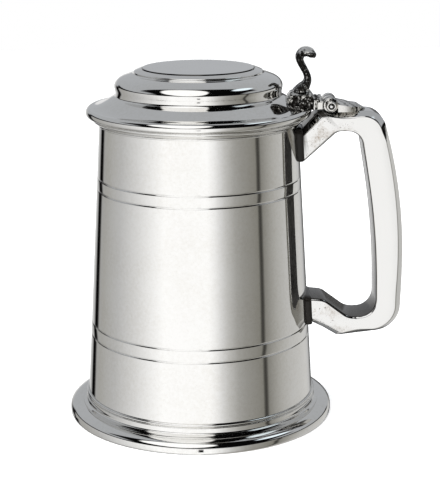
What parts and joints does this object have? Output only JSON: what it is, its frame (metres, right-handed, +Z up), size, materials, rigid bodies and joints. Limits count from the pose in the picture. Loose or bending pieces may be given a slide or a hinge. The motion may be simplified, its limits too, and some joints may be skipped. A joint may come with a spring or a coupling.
{
  "type": "tankard",
  "caption": "Tapered pewter drinking tankard with a flared foot, a square bow handle and a hinged domed lid with a scrolled thumbpiece.",
  "frame": {"origin": "centre of the object's footprint box, on the surface that the foot rests on", "axes": "+Z up along the drum, +X towards the handle, +Y across the handle, along the hinge pin"},
  "size_m": [0.136, 0.108, 0.1493],
  "materials": {
    "polished_pewter": "mirror-polished pewter",
    "satin_pewter": "satin turned pewter",
    "antiqued_pewter": "cast pewter with dark patina in its recesses"
  },
  "bodies": {
    "tankard": {"drum": "polished_pewter", "drum_floor": "satin_pewter", "mouth_band": "polished_pewter", "foot_ring": "polished_pewter", "handle": "polished_pewter", "handle_pad_upper": "polished_pewter", "handle_pad_lower": "polished_pewter", "hinge_leaf": "antiqued_pewter", "hinge_pin": "polished_pewter"},
    "lid": {"lid_shell": "polished_pewter", "lid_disc": "polished_pewter", "lid_bezel": "satin_pewter", "lid_strap": "antiqued_pewter", "thumbpiece": "antiqued_pewter"}
  },
  "joints": [
    {"name": "lid_hinge", "type": "hinge", "parent": "tankard", "child": "lid", "pos_m": [0.0381, 0, 0.1271], "axis": [0, 1, 0], "range_deg": [0, 105]}
  ]
}
